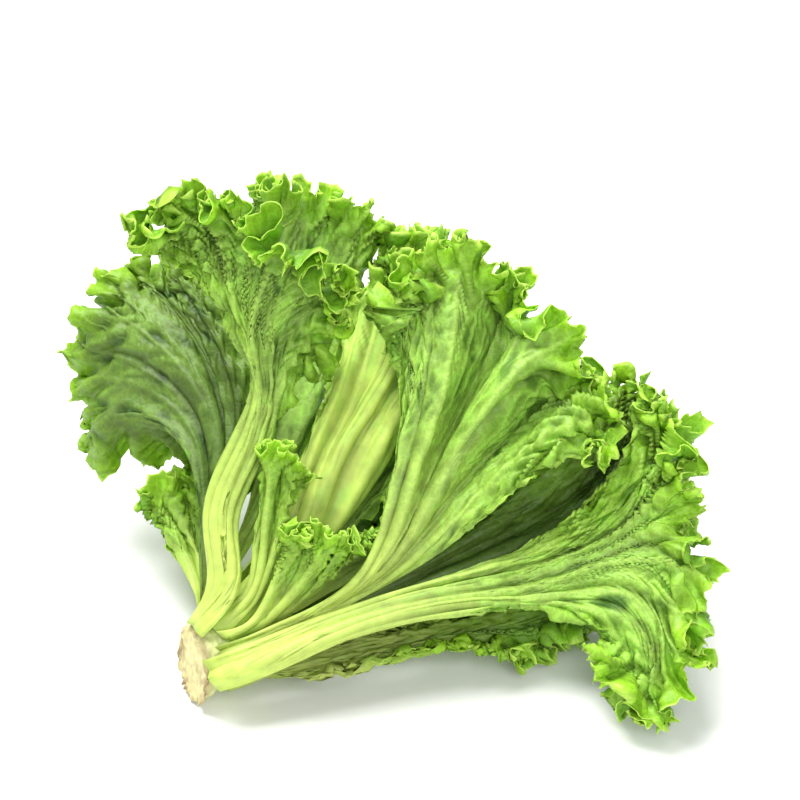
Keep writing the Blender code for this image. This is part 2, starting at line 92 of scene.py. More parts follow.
# Rows of a coarse blade, as shares of its length, and how many columns apart points are there
ROWS = (0.0, 0.08, 0.20, 0.36, 0.54, 0.73, 0.88, 1.0)
ROW_STEPS = (4, 4, 4, 4, 2, 2, 1, 1)

# Leaves are kept apart by a map of limits in directions from the apex, a point behind the cut face
APEX = 15.0
DISTANCE_STEP = 2.0
BEARING_STEP = 1.5
MAP_SHAPE = (int(300 / DISTANCE_STEP), int(360 / BEARING_STEP))
SAMPLES = 12
GAP = 0.4
LEAST_OPENING = 0.04
STEM_CLEARANCE = 1.03
# A leaf is bent in rounds. Each push spreads in rounds too, less near the foot than in the blade
BEND_ROUNDS = 6
ENOUGH = 1e-4
SPREAD_ROUNDS = 6
FOOT_GIVE, BLADE_GIVE = 0.3, 0.95

# How many places a curve is measured at
CURVE_PLACES = 200


@dataclass(frozen=True)
class Leaf:
    """One leaf. Its ribs are either given as seen, or spread by rule about a bearing round the axis.

    ribs: places from foot to edge, in steps right and down in the picture and mm away
    attach, clasp: height of its foot on the stem, and how far that reaches round to each side
    roll, turn: how far its rim rolls over, and the shift that makes its waves differ
    """

    name: str
    ribs: tuple = ()
    attach: float = 10.0
    clasp: float = 34.0
    bearing: float = 0.0
    spread: float = 40.0
    open: float = 40.0
    length: float = 200.0
    wave: float = 6.0
    tooth: float = 3.0
    waves: float = 8.0
    flare: float = 3.0
    roll: float = 0.5
    pleat: float = 3.0
    pleats: float = 3.0
    turn: float = 0.0
    half_columns: int = 24
    stalk: float = 0.35


# Leaves from the heart outwards
LEAVES = (
    Leaf(
        "heart_leaf_1", attach=36, bearing=250, open=10, spread=70, length=110, waves=5,
        half_columns=12, stalk=0.5,
    ),
    Leaf(
        "heart_leaf_2", attach=34, bearing=120, open=18, spread=60, length=135, waves=5, turn=1.3,
        half_columns=12, stalk=0.5,
    ),
    Leaf(
        "heart_leaf_3", attach=31, bearing=350, open=22, spread=55, length=150, waves=5, turn=2.1,
        half_columns=12, stalk=0.6,
    ),
    Leaf("inner_leaf_crest", (
        ((285, 530, 26), (305, 430, 44), (332, 340, 60), (348, 268, 72)),
        ((292, 528, 26), (325, 420, 44), (360, 330, 62), (378, 240, 78)),
        ((300, 526, 26), (345, 415, 46), (390, 320, 64), (410, 240, 84)),
        ((308, 524, 26), (362, 410, 46), (413, 320, 66), (440, 236, 86)),
        ((316, 522, 26), (378, 410, 46), (432, 330, 66), (464, 262, 80)),
    ), attach=24, waves=6, turn=0.8, half_columns=16),
    Leaf(
        "inner_leaf_back", attach=26, bearing=215, open=26, spread=36, length=200, waves=6, turn=1.9,
        half_columns=16,
    ),
    Leaf("inner_leaf_top", (
        ((262, 560, 6), (292, 480, 20), (322, 400, 34), (342, 330, 46)),
        ((280, 552, 4), (315, 465, 16), (350, 385, 30), (372, 315, 40), (384, 275, 48)),
        ((296, 548, 2), (340, 450, 14), (388, 375, 26), (415, 320, 34), (425, 262, 50)),
        ((320, 548, 2), (372, 470, 16), (420, 395, 28), (450, 340, 40), (470, 300, 56)),
    ), attach=19, waves=5, turn=0.4, half_columns=16, stalk=0.6),
    Leaf("small_leaf_left", (
        ((240, 600, -2), (250, 530, 2), (250, 460, 6)),
        ((248, 600, -4), (266, 530, -2), (276, 445, 4)),
        ((256, 600, -4), (280, 535, -2), (300, 470, 4)),
    ), attach=15.5, clasp=20, waves=4, turn=1.2, half_columns=8, stalk=0.3, wave=4),
    Leaf("small_leaf_middle", (
        ((246, 622, -4), (272, 578, -5), (292, 536, -4)),
        ((256, 624, -6), (292, 580, -8), (318, 528, -8)),
        ((268, 626, -7), (314, 584, -9), (346, 536, -10)),
        ((282, 628, -6), (336, 584, -8), (376, 534, -6)),
    ), attach=17, clasp=34, waves=5, turn=2.2, half_columns=12, stalk=0.5, wave=4),
    Leaf("front_leaf_high", (
        ((405, 580, 4), (500, 505, 22), (575, 435, 38), (606, 400, 48), (618, 388, 56)),
        ((410, 588, 2), (510, 530, 22), (596, 465, 38), (630, 420, 46), (648, 398, 54)),
        ((415, 594, 2), (520, 550, 18), (606, 500, 32), (652, 458, 42), (676, 434, 50)),
        ((418, 600, 2), (530, 565, 14), (610, 535, 24), (660, 508, 34), (686, 490, 42)),
        ((420, 604, 2), (530, 580, 10), (600, 568, 16), (645, 555, 22), (680, 545, 30)),
    ), attach=14, waves=7, turn=1.4),
    Leaf("front_leaf_middle", (
        ((290, 616, -8), (358, 572, -6), (386, 500, 2), (400, 420, 8),
         (398, 365, 14), (404, 330, 14)),
        ((291, 619, -9), (362, 575, -8), (398, 488, -2), (420, 390, 4),
         (420, 320, 10), (412, 262, 16)),
        ((292, 622, -9), (366, 577, -8), (413, 483, -2), (448, 390, 2),
         (462, 320, 8), (468, 252, 20)),
        ((293, 625, -9), (370, 579, -8), (430, 480, 4), (468, 400, 18),
         (500, 335, 24), (520, 285, 30)),
        ((294, 628, -9), (374, 582, -8), (442, 480, -3), (490, 402, -4),
         (530, 356, 0), (556, 348, 16)),
        ((295, 631, -9), (378, 585, -8), (458, 488, 1), (515, 428, 12),
         (552, 398, 16), (586, 390, 24)),
        ((296, 634, -8), (384, 589, -7), (472, 500, -3), (532, 440, -3),
         (565, 420, -2), (596, 416, 10)),
        ((297, 637, -7), (392, 594, -6), (486, 522, -9), (540, 474, -12),
         (566, 458, -6), (588, 460, 4)),
    ), attach=10, roll=1.5, waves=9, turn=0.7, half_columns=32, pleat=1.0, stalk=0.9),
    Leaf(
        "back_leaf_high", attach=21, clasp=28, bearing=262, open=44, spread=30, length=215, waves=8,
        turn=2.4,
    ),
    Leaf("back_leaf_top", (
        ((212, 560, 34), (212, 440, 50), (176, 320, 58), (135, 200, 60)),
        ((218, 560, 36), (232, 440, 50), (208, 320, 56), (190, 178, 58)),
        ((224, 560, 36), (252, 440, 50), (250, 320, 57), (248, 180, 61)),
        ((230, 560, 36), (272, 440, 50), (290, 320, 59), (304, 187, 64)),
        ((236, 560, 34), (290, 440, 50), (325, 330, 63), (350, 202, 70)),
        ((242, 560, 34), (306, 440, 52), (350, 342, 68), (378, 232, 80)),
    ), attach=18.5, clasp=24, waves=8, turn=1.1),
    Leaf(
        "bottom_leaf_right", attach=13, bearing=150, open=42, spread=30, length=195, waves=7,
        turn=1.7, half_columns=20,
    ),
    Leaf(
        "back_leaf_low", attach=16.5, bearing=222, open=44, spread=32, length=205, waves=8, turn=0.2,
    ),
    Leaf("left_leaf", (
        ((196, 590, 14), (187, 530, 22), (172, 484, 30), (144, 480, 42), (118, 494, 52)),
        ((200, 590, 14), (197, 520, 22), (184, 458, 30), (130, 426, 50), (80, 462, 66)),
        ((204, 590, 15), (206, 520, 21), (200, 440, 31), (130, 372, 56), (64, 358, 76)),
        ((211, 590, 15), (218, 520, 21), (218, 430, 32), (156, 325, 58), (100, 284, 78)),
        ((213, 590, 16), (222, 520, 22), (228, 425, 34), (185, 310, 58), (140, 262, 78)),
        ((215, 590, 17), (226, 520, 23), (238, 420, 36), (212, 320, 54), (186, 262, 70)),
        ((217, 590, 18), (234, 520, 24), (258, 420, 38), (256, 335, 50), (244, 262, 60)),
    ), attach=14.5, clasp=22, roll=-0.9, waves=9, turn=2.2, stalk=0.6),
    Leaf("left_leaf_low", (
        ((196, 600, 24), (172, 550, 40), (146, 505, 58)),
        ((202, 600, 26), (184, 545, 42), (160, 492, 60)),
        ((208, 600, 28), (196, 540, 44), (176, 482, 62)),
        ((213, 600, 30), (206, 536, 46), (196, 474, 62)),
    ), attach=12, clasp=20, waves=5, turn=0.6, half_columns=16, wave=4, stalk=0.8),
    Leaf("crown_leaf", (
        ((206, 590, -2), (203, 520, 4), (222, 455, 8), (250, 385, 12), (216, 300, 10),
         (168, 262, 12), (114, 234, 14)),
        ((213, 590, -4), (209, 520, 1), (230, 455, 5), (254, 385, 9), (226, 310, 6),
         (196, 244, 8), (170, 200, 12)),
        ((220, 590, -6), (216, 520, -2), (237, 455, 3), (257, 385, 7), (238, 310, 2),
         (230, 250, 2), (222, 190, 2)),
        ((227, 590, -6), (223, 520, -2), (245, 455, 3), (261, 387, 6), (252, 320, 2),
         (270, 268, 0), (282, 214, -8)),
        ((234, 590, -6), (230, 520, -1), (252, 455, 4), (266, 392, 7), (268, 335, 6),
         (300, 286, 4), (336, 242, -6)),
        ((241, 590, -4), (237, 520, 2), (260, 455, 7), (272, 400, 10), (284, 345, 12),
         (318, 312, 14), (358, 292, 10)),
        ((247, 590, -2), (243, 520, 5), (268, 455, 10), (282, 420, 14),
         (296, 390, 18), (304, 362, 20), (312, 342, 20)),
    ), attach=9.3, clasp=28, bearing=350, roll=1.5, waves=9, turn=0.3, half_columns=32,
        pleat=1.0, flare=2, stalk=0.9),
    Leaf(
        "bottom_leaf", attach=8, bearing=185, open=34, spread=34, length=205, waves=7, turn=0.9,
        half_columns=20,
    ),
    Leaf("under_leaf", (
        ((300, 640, 4), (400, 622, 14), (500, 605, 24), (600, 590, 34)),
        ((300, 652, 0), (400, 636, 8), (500, 618, 18), (600, 610, 26)),
        ((300, 664, -4), (390, 652, 2), (480, 636, 10), (560, 640, 14)),
        ((296, 674, -6), (372, 664, -4), (440, 650, 2), (500, 646, 4)),
    ), attach=6, waves=6, turn=1.0, half_columns=20, wave=3, stalk=0.6),
    Leaf("front_leaf_low", (
        ((329, 608, -7), (450, 571, 2), (548, 530, 8), (596, 492, 10),
         (628, 444, 14), (645, 402, 22)),
        ((331, 612, -8), (450, 579, 0), (560, 547, 6), (625, 503, 8),
         (662, 456, 10), (677, 432, 16)),
        ((333, 616, -9), (450, 586, -2), (560, 562, 4), (630, 532, 4),
         (668, 512, 4), (684, 511, 8)),
        ((334, 620, -10), (450, 594, -4), (560, 578, 0), (632, 560, -6),
         (668, 566, -8), (685, 600, -4)),
        ((335, 624, -11), (450, 600, -6), (560, 590, -2), (628, 586, -8),
         (660, 610, -12), (674, 658, -8)),
        ((336, 628, -12), (450, 604, -7), (555, 600, -2), (610, 606, -6),
         (640, 645, -12), (652, 724, -10)),
        ((336, 632, -12), (450, 608, -8), (545, 606, -3), (585, 616, -3),
         (606, 628, -6), (618, 648, -6)),
    ), attach=2, clasp=28, bearing=70, roll=1.4, waves=9, turn=2.5, half_columns=32,
        pleat=1.0, flare=2, stalk=0.9),
)


def unit(vectors):
    """Vectors scaled to a length of 1 along their last axis."""
    return vectors / np.maximum(np.linalg.norm(vectors, axis=-1, keepdims=True), 1e-9)


def head_frame():
    """The head's axis, and the upward and the sideways direction across it."""
    bearing, rise = radians(AXIS_BEARING), radians(AXIS_RISE)
    axis = np.array([cos(rise) * cos(bearing), cos(rise) * sin(bearing), sin(rise)])
    up = unit(np.array([0, 0, 1.0]) - axis[2] * axis)
    return axis, up, np.cross(axis, up)


AXIS, UP, SIDE = head_frame()


def seen(place):
    """The place of a point that is given in steps right and down in the picture and in mm away."""
    across, down, away = place
    scale = 1 + away / VIEW_DISTANCE
    right = (VIEW_MIDDLE[0] - VIEW_BUTT[0] + (across - VIEW_MIDDLE[0]) * scale) * VIEW_STEP
    up = (VIEW_BUTT[1] - VIEW_MIDDLE[1] - (down - VIEW_MIDDLE[1]) * scale) * VIEW_STEP
    rise = radians(VIEW_RISE)
    return np.array([right, up * sin(rise) + away * cos(rise), up * cos(rise) - away * sin(rise)])


def round_axis(height, bearing, radius):
    """A place at a height along the axis, at a bearing round it and a distance from it."""
    return height * AXIS + radius * (cos(radians(bearing)) * UP + sin(radians(bearing)) * SIDE)


def polar(points):
    """Distances from the apex, angles from the axis and bearings round it, in radians."""
    from_apex = points + APEX * AXIS
    distance = np.linalg.norm(from_apex, axis=-1)
    opening = np.arccos(np.clip(from_apex @ AXIS / distance, -1, 1))
    return distance, opening, np.arctan2(from_apex @ SIDE, from_apex @ UP)


def from_polar(distance, opening, bearing):
    """The places that polar would take to these distances, angles and bearings."""
    across = np.cos(bearing)[..., None] * UP + np.sin(bearing)[..., None] * SIDE
    ray = np.cos(opening)[..., None] * AXIS + np.sin(opening)[..., None] * across
    return distance[..., None] * ray - APEX * AXIS


def bearing_of(place):
    """The bearing of a place round the head's axis, in degrees."""
    return np.degrees(np.arctan2(place @ SIDE, place @ UP))


def spline(knots, values, at):
    """A natural cubic spline through values at knots, read at the places in at."""
    count = len(knots)
    step = np.diff(knots)
    slope = np.diff(values, axis=0) / step[:, None]
    matrix = np.eye(count)
    right = np.zeros((count, values.shape[1]))
    right[1:-1] = 6 * np.diff(slope, axis=0)
    for i in range(1, count - 1):
        matrix[i, i - 1 : i + 2] = step[i - 1], 2 * (step[i - 1] + step[i]), step[i]
    bend = np.linalg.solve(matrix, right)
    i = np.clip(np.searchsorted(knots, at, side="right") - 1, 0, count - 2)
    h = step[i][:, None]
    a = (knots[i + 1] - at)[:, None] / h
    b = 1 - a
    bow = (a**3 - a) * bend[i] + (b**3 - b) * bend[i + 1]
    return a * values[i] + b * values[i + 1] + bow * h**2 / 6


def run(points):
    """The length from the first row of points to each row."""
    steps = np.linalg.norm(np.diff(points, axis=0), axis=-1)
    return np.concatenate([np.zeros_like(steps[:1]), np.cumsum(steps, axis=0)])


def even_curve(points, shares):
    """Places on a smooth curve through points, at shares of its length, and that length."""
    points = np.array(points, float)
    knots = run(points)
    fine = spline(knots, points, np.linspace(0, knots[-1], CURVE_PLACES))
    along = run(fine)
    places = [np.interp(shares * along[-1], along, fine[:, axis]) for axis in range(3)]
    return np.stack(places, axis=1), along[-1]


def smooth_step(low, high, x):
    """Rises smoothly from 0 where x is low to 1 where it is high."""
    t = np.clip((x - low) / (high - low), 0, 1)
    return t * t * (3 - 2 * t)


def bell(x, reach, power=2):
    """Falls from 1 where x is 0 to near 0 beyond its reach, more suddenly for a higher power."""
    return np.exp(-(np.abs(x / reach) ** power))


def stem_radius(height):
    heights, radii = np.array(STEM_PROFILE).T
    return np.interp(height, heights, radii)


def courses_by_rule(leaf):
    """Five ribs spread about the leaf's bearing, which lean out as they rise."""
    lean, shorter, off_axis = 0.65, 0.28, 8
    courses = []
    for place in np.linspace(-1, 1, 5):
        course = []
        for share in (0.3, 0.6, 0.85, 1.0):
            opening = radians(leaf.open * (0.35 + lean * share))
            reach = leaf.length * (1 - shorter * place**2) * share
            height, radius = leaf.attach + reach * cos(opening), reach * sin(opening) + off_axis
            course.append(round_axis(height, leaf.bearing + place * leaf.spread, radius))
        courses.append(course)
    return courses


def leaf_ribs(leaf, shares):
    """The leaf's main ribs from left to right as seen from outside, at shares of their lengths."""
    if leaf.ribs:
        courses = [[seen(place) for place in rib] for rib in leaf.ribs]
        middle = leaf.bearing or bearing_of(np.mean([course[0] for course in courses], axis=0))
        turns = [bearing_of(course[-1]) - middle for course in (courses[0], courses[-1])]
        left, right = ((turn + 180) % 360 - 180 for turn in turns)
        if left > right:
            courses = courses[::-1]
    else:
        courses = courses_by_rule(leaf)
        middle = leaf.bearing
    foot = stem_radius(leaf.attach) + GAP + BLADE_HALF
    curves, lengths = [], []
    for place, course in zip(np.linspace(-1, 1, len(courses)), courses):
        start = round_axis(leaf.attach, middle + leaf.clasp * place, foot)
        curve, length = even_curve((start, *course), shares)
        curves.append(curve)
        lengths.append(length)
    return np.array(curves), np.array(lengths)


def outward_and_forward(surface):
    """The direction out of the leaf and the one along its ribs, at each point of a grid."""
    forward = np.gradient(surface, axis=0)
    return unit(np.cross(np.gradient(surface, axis=1), forward)), unit(forward)


def leaf_surface(leaf, across, rows):
    """The middle surface of the leaf's blade.

    It has a row for each of rows, from the foot at 0 to the edge at 1, and a column for each of
    across, from the left at -1 to the right at 1. Uneven sines keep its waves from being alike.
    """
    shares = np.asarray(rows, float)
    curves, lengths = leaf_ribs(leaf, shares)
    knots = np.linspace(-1, 1, len(curves))
    surface = spline(knots, curves.reshape(len(curves), -1), across)
    surface = surface.reshape(len(across), len(shares), 3).transpose(1, 0, 2)
    length = spline(knots, lengths[:, None], across)[:, 0]
    from_edge = (1 - shares)[:, None] * length
    grown = smooth_step(PLAIN_STALK, 0.75, shares)[:, None]
    pleated = np.sin(np.pi * leaf.pleats * across + leaf.turn)
    pleated = smooth_step(0.15, 0.7, shares)[:, None] * pleated
    flared = grown * np.clip(1 - from_edge / FLARE_REACH, 0, 1) ** 2
    out, forward = outward_and_forward(surface)
    surface = surface + (leaf.pleat * pleated + leaf.flare * flared)[..., None] * out

    out, forward = outward_and_forward(surface)
    varied = 0.7 + 0.3 * np.sin(5.3 * across + 2 * leaf.turn)
    varied = varied + 0.25 * np.sin(13.1 * across + leaf.turn)
    angle = leaf.roll * varied
    angle = np.where(np.abs(angle) < LEAST_ROLL, LEAST_ROLL, angle)
    into = np.clip(1 - from_edge / ROLL_REACH, 0, 1) * ROLL_REACH
    radius = ROLL_STRETCH * ROLL_REACH / angle
    turned = into / ROLL_REACH * angle
    surface = surface + (radius * np.sin(turned) - into)[..., None] * forward
    surface = surface + (radius * (1 - np.cos(turned)))[..., None] * out

    out, forward = outward_and_forward(surface)
    phase = np.pi * leaf.waves * across + 0.5 * np.sin(5.1 * across + leaf.turn)
    phase = phase + 0.4 * np.sin(11.3 * across + 2 * leaf.turn)
    strength = 0.85 + 0.3 * np.sin(7.7 * across + 3 * leaf.turn)
    height = leaf.wave * strength * grown * np.exp(-from_edge / WAVE_REACH) * np.sin(phase)
    teeth = np.sin(np.pi * leaf.half_columns / 2 * across + 0.6 * np.sin(9.1 * across))
    teeth = leaf.tooth * grown * np.exp(-from_edge / TOOTH_REACH) * teeth
    return surface + height[..., None] * out + teeth[..., None] * forward


def rib_depth(leaf, across, rows):
    """How far the stalk stands out of the blade's outer side."""
    fade = np.clip(1 - np.asarray(rows)[:, None] / RIB_FADES_BY, 0, 1)
    return leaf.stalk * RIB_DEPTH * fade * bell(across, RIB_WIDTH)


def coarse_columns(leaf):
    """Where the columns of the coarse blade are, from -1 at the left to 1 at the right."""
    return np.linspace(-1, 1, 2 * leaf.half_columns + 1)


def strip_faces(steps, last):
    """Triangles of a grid whose rows use every step-th column, as (row, column) corners."""
    faces = []
    for row, (inner, outer) in enumerate(zip(steps, steps[1:])):
        for column in range(0, last, inner):
            a, b = (row, column), (row, column + inner)
            rim = [(row + 1, c) for c in range(column, column + inner + 1, outer)]
            middle = len(rim) // 2
            for k in range(len(rim) - 1):
                faces.append((a if k < middle else b, rim[k + 1], rim[k]))
            faces.append((a, b, rim[middle]))
    return faces


def edges_of(faces):
    """The edges of triangles, each as its two ends in the triangle's order."""
    return np.concatenate([faces[:, [0, 1]], faces[:, [1, 2]], faces[:, [2, 0]]])


class Blade:
    """The coarse blade of one leaf: its points, its triangles and its outer half thickness."""

    def __init__(self, leaf):
        self.leaf = leaf
        faces = strip_faces(ROW_STEPS, 2 * leaf.half_columns)
        self.corners = sorted({corner for face in faces for corner in face})
        place = {corner: k for k, corner in enumerate(self.corners)}
        self.faces = np.array([[place[corner] for corner in face] for face in faces])
        grid = leaf_surface(leaf, coarse_columns(leaf), ROWS)
        depth = rib_depth(leaf, coarse_columns(leaf), ROWS)
        self.points = np.array([grid[corner] for corner in self.corners])
        self.unbent = self.points.copy()
        self.outer_half = np.array([BLADE_HALF + depth[corner] for corner in self.corners])
        self.give = np.array([FOOT_GIVE if corner[0] < 2 else BLADE_GIVE for corner in self.corners])
        pairs = [(i, j) for i in range(SAMPLES + 1) for j in range(SAMPLES + 1 - i)]
        self.weights = np.array([(i, j, SAMPLES - i - j) for i, j in pairs]) / SAMPLES
        self.edges = np.unique(np.sort(edges_of(self.faces), axis=1), axis=0)

    def samples(self):
        """Polar places spread over each triangle, with the outer half thickness there."""
        distance, opening, bearing = polar(self.weights @ self.points[self.faces])
        return distance, opening, bearing, self.outer_half[self.faces] @ self.weights.T

    def spread_push(self, push):
        """Passes the points' pushes on to the points around them, where they are less."""
        for _ in range(SPREAD_ROUNDS):
            summed, count = np.zeros(len(push)), np.zeros(len(push))
            for a, b in ((0, 1), (1, 0)):
                np.add.at(summed, self.edges[:, a], push[self.edges[:, b]])
                np.add.at(count, self.edges[:, a], 1)
            push = np.maximum(push, self.give * summed / count)
        return push

    def bend(self, limit, side):
        """Opens the leaf out (side 1) or draws it in (side -1) until it is clear of a limit."""
        for _ in range(BEND_ROUNDS):
            distance, opening, bearing, outer = self.samples()
            bound = limit[cells(distance, bearing)]
            if side > 0:
                bound = np.maximum(bound, stem_limit(distance))
                lack = bound + (BLADE_HALF + GAP) / distance - opening
            else:
                lack = opening + (outer + GAP) / distance - bound
            if lack.max() < ENOUGH:
                break
            push = np.zeros(len(self.points))
            for k in range(3):
                share = np.maximum(lack, 0) * self.weights[:, k] / (self.weights**2).sum(axis=1)
                np.maximum.at(push, self.faces[:, k], share.max(axis=1))
            distance, opening, bearing = polar(self.points)
            moved = opening + side * self.spread_push(push)
            if side < 0:
                moved = np.maximum(moved, np.minimum(opening, LEAST_OPENING + stem_limit(distance)))
            self.points = from_polar(distance, moved, bearing)

    def lift(self):
        """Lays what is below the table on the table."""
        self.points[:, 2] = np.maximum(self.points[:, 2], TABLE + self.outer_half)


def cells(distance, bearing):
    """The cells of the map of limits that places are in."""
    row = np.clip((distance / DISTANCE_STEP).astype(int), 0, MAP_SHAPE[0] - 1)
    return row, np.floor(np.degrees(bearing) / BEARING_STEP).astype(int) % MAP_SHAPE[1]


def widened(limits, pick):
    """Each cell with the strictest of its own limit and those of the cells round it."""
    wide = pick(pick(limits, np.roll(limits, 1, 1)), np.roll(limits, -1, 1))
    result = wide.copy()
    result[1:] = pick(result[1:], wide[:-1])
    result[:-1] = pick(result[:-1], wide[1:])
    return result


def stem_limit(distance):
    """The least angle from the axis at a distance from the apex, so that leaves clear the stem."""
    heights = np.linspace(0, STEM_PROFILE[-1][0], CURVE_PLACES)
    radii = stem_radius(heights) * STEM_CLEARANCE
    angles = np.arctan2(radii, heights + APEX)
    return np.interp(distance, np.hypot(heights + APEX, radii), angles, right=0)


def lay_leaves():
    """Builds the blades and bends them clear of each other, of the stem and of the table."""
    blades = [Blade(leaf) for leaf in LEAVES]
    limits = np.full(MAP_SHAPE, np.pi)
    for blade in blades[::-1]:
        blade.lift()
        blade.bend(widened(limits, np.minimum), -1)
        distance, opening, bearing = blade.samples()[:3]
        np.minimum.at(limits, cells(distance, bearing), opening - BLADE_HALF / distance)
    limits = np.zeros(MAP_SHAPE)
    for blade in blades:
        blade.bend(widened(limits, np.maximum), 1)
        distance, opening, bearing, outer = blade.samples()
        np.maximum.at(limits, cells(distance, bearing), opening + outer / distance)
    return blades


@dataclass(frozen=True)
class Look:
    """How finely one leaf is drawn, its frill, its relief and its colours.

    frill, fold: height and length of the margin's large curls
    curl, point: height of its small curls and length of its teeth
    side, side_from: how strong the frill is along the sides, and where up the leaf it starts
    pale, shade, tone: how far up the pale stalk reaches, how far the blade turns to the darker,
    bluer green, and its brightness; on some leaves the last two are painted shade, and on one the
    brightness is painted light
    veins, ribs, pocket: number and height of main veins, and depth of the pockets between them
    swell, creases: extra thickness of the stalk, and where deep creases run across the leaf
    """

    columns: int = 30
    rows: int = 40
    frill: float = 6.0
    fold: float = 19.0
    curl: float = 2.0
    point: float = 2.6
    side: float = 0.6
    side_from: float = 0.4
    pale: float = 0.42
    shade: float = 0.3
    tone: float = 1.0
    veins: int = 5
    pocket: float = 1.3
    ribs: float = 2.0
    swell: float = 0.0
    creases: tuple = ()


LOOKS = {
    "crown_leaf": Look(
        100, 84, frill=8, fold=23, curl=2.6, point=3.6, pale=0.5, shade=0.35, swell=1.5,
        pocket=1.4, creases=(-0.5, 0.15, 0.62),
    ),
    "front_leaf_middle": Look(
        100, 84, frill=8, fold=21, curl=2.6, point=3.4, pale=0.5, shade=0.4, veins=6, swell=0.6,
        pocket=1.7, side=0.35, creases=(-0.6, -0.14, 0.2, 0.43),
    ),
    "front_leaf_low": Look(
        100, 84, frill=8, fold=22, curl=2.6, point=3.4, pale=0.5, shade=0.15, tone=1.02, swell=1.2,
        pocket=1.6, creases=(-0.5, -0.12, 0.3, 0.6),
    ),
    # This leaf's blue-green is partly its own cooler colour; its full dark blue-green and lowered
    # brightness are painted shade
    "left_leaf": Look(
        72, 60, frill=8, fold=24, curl=2.6, pale=0.12, shade=1.0, tone=0.66, ribs=1.4, pocket=2.2,
        creases=(-0.3, 0.2, 0.55),
    ),
    # This leaf's full dark blue-green and halved brightness are painted shade, for the dark hollow
    # under the middle front leaf's edge
    "front_leaf_high": Look(
        60, 54, frill=7, fold=20, pale=0.2, shade=1.0, tone=0.5, creases=(-0.4, 0.3),
    ),
    "back_leaf_top": Look(64, 50, frill=7, fold=20, pale=0.3, shade=0.6),
    # This leaf's raised brightness is painted light
    "inner_leaf_top": Look(
        48, 56, frill=4, pale=0.95, tone=1.2, veins=4, pocket=0.5, ribs=2.2, creases=(-0.35, 0.35),
    ),
    "inner_leaf_crest": Look(48, 42, frill=7, pale=0.4),
    # This leaf's lowered brightness is painted shade, for where it lies under the low front leaf
    "under_leaf": Look(44, 44, frill=5, point=5.5, pale=0.75, tone=0.78, side=1.2, side_from=0.05),
    "small_leaf_left": Look(
        24, 34, frill=4, fold=10, curl=1.4, point=2.0, pale=0.6, veins=3, pocket=0.7,
    ),
    "small_leaf_middle": Look(
        36, 34, frill=5, fold=12, curl=1.6, point=2.2, pale=0.6, veins=3, pocket=0.7,
    ),
    "left_leaf_low": Look(32, 36, frill=4, pale=0.6, shade=0.5),
    "back_leaf_high": Look(44, 46),
    "back_leaf_low": Look(44, 46),
    **{f"heart_leaf_{k}": Look(14, 28, shade=0.8) for k in (1, 2, 3)},
}

# The widest step between columns, and where up the leaf it is halved
COLUMN_STEP = 8
CLOSER_FROM = (0.28, 0.55, 0.9)
# The leaves' seeds for random values, and the size of a random table
FIRST_SEED = 100
SEEDS_EACH = 20
TABLE_SIDE = 64

# Veins: levels of forks, spread and width of the main ones, and width of a level to the one before
VEIN_LEVELS = 3
VEIN_SPAN = 0.8
VEIN_WIDTH = 3.0
VEIN_NARROWS = 0.55

# Sizes of pockets, teeth and creases
POCKET_SIZE = 9.5
TOOTH_LENGTH = 8.5
SMALL_TOOTH_LENGTH = 3.7
CREASE_DEPTH = 4.8
CREASE_WIDTH = 3.6

# What the lights point at, in metres
HEAD_MIDDLE = (0, 0, 0.08)

# Colours in linear light
STALK = np.array([0.60, 0.73, 0.15])
BLADE = np.array([0.215, 0.46, 0.045])
# A dark blue-green: the blade's own cooler green, and also painted shade in the sunk pockets and on
# the darkened leaves
COOL_BLADE_AND_PAINTED_SHADE = np.array([0.045, 0.165, 0.015])
FRILL = np.array([0.31, 0.61, 0.008])
RIM = np.array([0.58, 0.80, 0.12])
UNDER_FRILL = np.array([0.15, 0.40, 0.02])
BUTT_PALE = np.array([0.70, 0.72, 0.34])
BUTT_GREEN = np.array([0.64, 0.76, 0.26])
CUT_TAN = np.array([0.72, 0.62, 0.30])
CUT_BROWN = np.array([0.16, 0.075, 0.03])


def blotches(x, y, size, seed):
    """Smooth random values from -1 to 1 that change over about size."""
    table = np.random.default_rng(seed).uniform(-1, 1, (TABLE_SIDE, TABLE_SIDE))
    i, j = np.floor(x / size).astype(int), np.floor(y / size).astype(int)
    a, b = smooth_step(0, 1, x / size - i), smooth_step(0, 1, y / size - j)
    left, right, low, high = (k % TABLE_SIDE for k in (i, i + 1, j, j + 1))
    low_value = (1 - a) * table[left, low] + a * table[right, low]
    high_value = (1 - a) * table[left, high] + a * table[right, high]
    return (1 - b) * low_value + b * high_value


def fine_rows(count):
    """Shares of a rib's length from the foot to the edge, closer together towards the edge."""
    t = np.linspace(0, 1, count)
    return 0.35 * t + 0.65 * (1 - (1 - t) ** 2)


def bent(blade, across, shares):
    """How far the coarse blade was bent clear of the others, smoothly over its whole surface."""
    moved = blade.points - blade.unbent
    row_of, column_of = np.array(blade.corners).T
    by_row = []
    for row in range(len(ROWS)):
        here = row_of == row
        at = coarse_columns(blade.leaf)[column_of[here]]
        by_row.append([np.interp(across, at, moved[here, axis]) for axis in range(3)])
    flat = spline(np.array(ROWS), np.transpose(by_row, (0, 2, 1)).reshape(len(ROWS), -1), shares)
    return flat.reshape(len(shares), len(across), 3)


def smooth_middle(blade, across, shares):
    """The blade's middle surface, as a smooth one through the coarse blade's columns."""
    coarse = coarse_columns(blade.leaf)
    surface = leaf_surface(blade.leaf, coarse, shares) + bent(blade, coarse, shares)
    columns = surface.transpose(1, 0, 2).reshape(len(coarse), -1)
    return spline(coarse, columns, across).reshape(len(across), len(shares), 3).transpose(1, 0, 2)


def directions(surface):
    """The outward, the sideways and the forward direction at each point of a grid."""
    side = unit(np.gradient(surface, axis=1))
    forward = unit(np.gradient(surface, axis=0))
    return unit(np.cross(side, forward)), side, forward


def arc(points):
    """The length along a row of points, from its middle."""
    along = run(points)
    return along - along[-1] / 2


